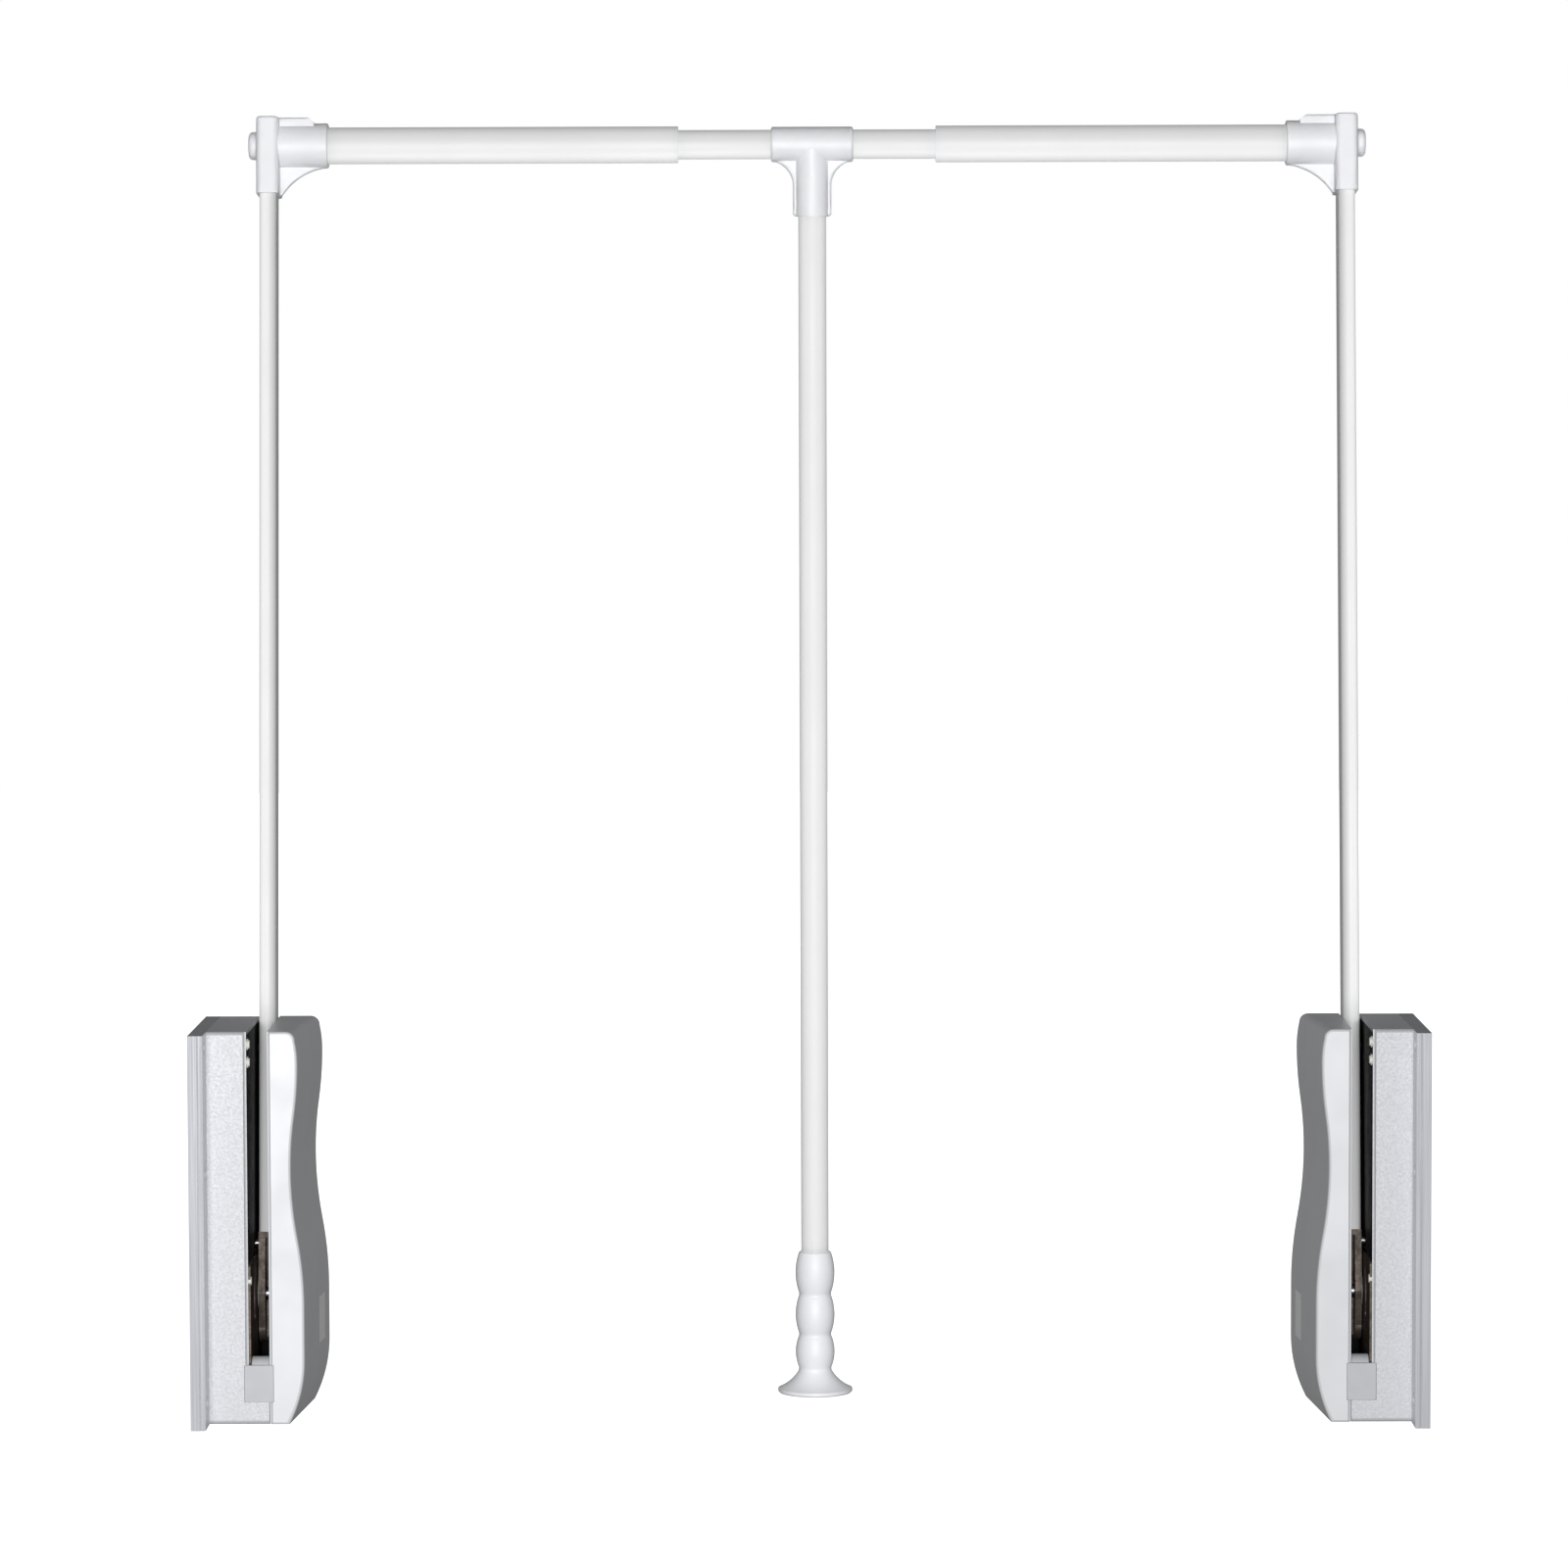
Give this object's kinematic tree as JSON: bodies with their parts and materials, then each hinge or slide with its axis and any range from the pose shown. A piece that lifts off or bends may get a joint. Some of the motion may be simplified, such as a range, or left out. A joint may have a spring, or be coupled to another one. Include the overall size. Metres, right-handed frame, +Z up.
{
  "type": "pull-down closet rod",
  "caption": "Telescopic hanging rail on swinging arms with sprung side housings and a central pull pole, for the upper part of a wardrobe.",
  "frame": {"origin": "centre of the lower and upper screws of the left housing, on the face that lies on the cabinet's left wall", "axes": "+X across the cabinet to the right wall, +Y to the cabinet's back, +Z up"},
  "size_m": [0.824, 0.193, 0.8799],
  "materials": {
    "silver_abs": "fine-textured silver-white ABS",
    "black_steel": "black powder-coated sheet steel",
    "zinc_steel": "bright zinc-plated steel",
    "bronzed_zinc": "yellow-passivated zinc: die casting and plated steel",
    "spring_steel": "oiled spring steel",
    "white_steel": "white powder-coated steel tube",
    "white_abs": "semi-gloss white moulded plastic",
    "nylon": "natural white nylon",
    "grey_rubber": "soft light-grey elastomer",
    "damper_plastic": "dark grey damper housing",
    "damper_rod": "ground steel plunger"
  },
  "bodies": {
    "left_housing": {"left_wall_plate": "silver_abs", "left_casing": "silver_abs", "left_inner_cover": "silver_abs", "left_cover_inset": "silver_abs", "left_chassis": "black_steel", "left_guide_plate": "bronzed_zinc", "left_standoffs": "zinc_steel", "left_cover_screws": "zinc_steel", "left_rest_pad": "grey_rubber", "left_arm_glides": "nylon", "left_pivot_bushes": "nylon", "left_spring_anchor": "zinc_steel", "left_lift_spring": "spring_steel", "left_damper_body": "damper_plastic", "left_damper_clips": "damper_plastic"},
    "left_damper": {"left_damper_plunger": "damper_rod"},
    "left_arm": {"left_pivot_axle": "zinc_steel", "left_axle_clips": "zinc_steel", "left_arm_lever": "bronzed_zinc", "left_arm_rivets": "zinc_steel", "left_crank_pin": "zinc_steel", "left_arm_tube": "white_steel", "left_corner_connector": "white_abs", "left_connector_knob": "white_abs", "left_outer_rail_tube": "white_steel", "left_rail_bush": "nylon"},
    "right_housing": {"right_wall_plate": "silver_abs", "right_casing": "silver_abs", "right_inner_cover": "silver_abs", "right_cover_inset": "silver_abs", "right_chassis": "black_steel", "right_guide_plate": "bronzed_zinc", "right_standoffs": "zinc_steel", "right_cover_screws": "zinc_steel", "right_rest_pad": "grey_rubber", "right_arm_glides": "nylon", "right_pivot_bushes": "nylon", "right_spring_anchor": "zinc_steel", "right_lift_spring": "spring_steel", "right_damper_body": "damper_plastic", "right_damper_clips": "damper_plastic"},
    "right_damper": {"right_damper_plunger": "damper_rod"},
    "right_arm": {"right_pivot_axle": "zinc_steel", "right_axle_clips": "zinc_steel", "right_arm_lever": "bronzed_zinc", "right_arm_rivets": "zinc_steel", "right_crank_pin": "zinc_steel", "right_arm_tube": "white_steel", "right_corner_connector": "white_abs", "right_connector_knob": "white_abs", "right_outer_rail_tube": "white_steel", "right_rail_bush": "nylon"},
    "centre_rail": {"inner_rail_tube": "white_steel", "rail_end_guides": "nylon"},
    "handle": {"t_connector": "white_abs", "swivel_screw": "zinc_steel", "pole": "white_steel", "pole_screw": "zinc_steel", "grip": "white_abs", "grip_cap": "white_abs"}
  },
  "joints": [
    {"name": "arm_swing", "type": "hinge", "parent": "left_housing", "child": "left_arm", "pos_m": [0.0445, 0.07717, -0.057], "axis": [1, 0, 0], "range_deg": [0, 114], "stiffness_Nm_per_rad": 8, "springref_deg": -85.94, "deforming": ["left_lift_spring"]},
    {"name": "left_damper_slide", "type": "slide", "parent": "left_housing", "child": "left_damper", "axis": [0, 0, -1], "range_m": [0, 0.012]},
    {"name": "rail_left_slide", "type": "slide", "parent": "left_arm", "child": "centre_rail", "axis": [1, 0, 0], "range_m": [-0.0585, 0.1465]},
    {"name": "rail_right_slide", "type": "slide", "parent": "centre_rail", "child": "right_arm", "axis": [1, 0, 0], "range_m": [-0.0515, 0.1535]},
    {"name": "handle_swing", "type": "hinge", "parent": "centre_rail", "child": "handle", "pos_m": [0.4155, 0.15484, 0.72113], "axis": [1, 0, 0], "range_deg": [-135, 20]},
    {"name": "right_arm_swing", "type": "hinge", "parent": "right_arm", "child": "right_housing", "pos_m": [0.7795, 0.07717, -0.057], "axis": [1, 0, 0], "range_deg": [-114, 0], "deforming": ["right_lift_spring"]},
    {"name": "right_damper_slide", "type": "slide", "parent": "right_housing", "child": "right_damper", "axis": [0, 0, -1], "range_m": [0, 0.012]}
  ],
  "couplings": [
    {"joint": "right_arm_swing", "follows": "arm_swing", "ratio": -1},
    {"joint": "left_damper_slide", "follows": "arm_swing", "m_per_rad": 0.0055},
    {"joint": "right_damper_slide", "follows": "arm_swing", "m_per_rad": 0.0055}
  ]
}
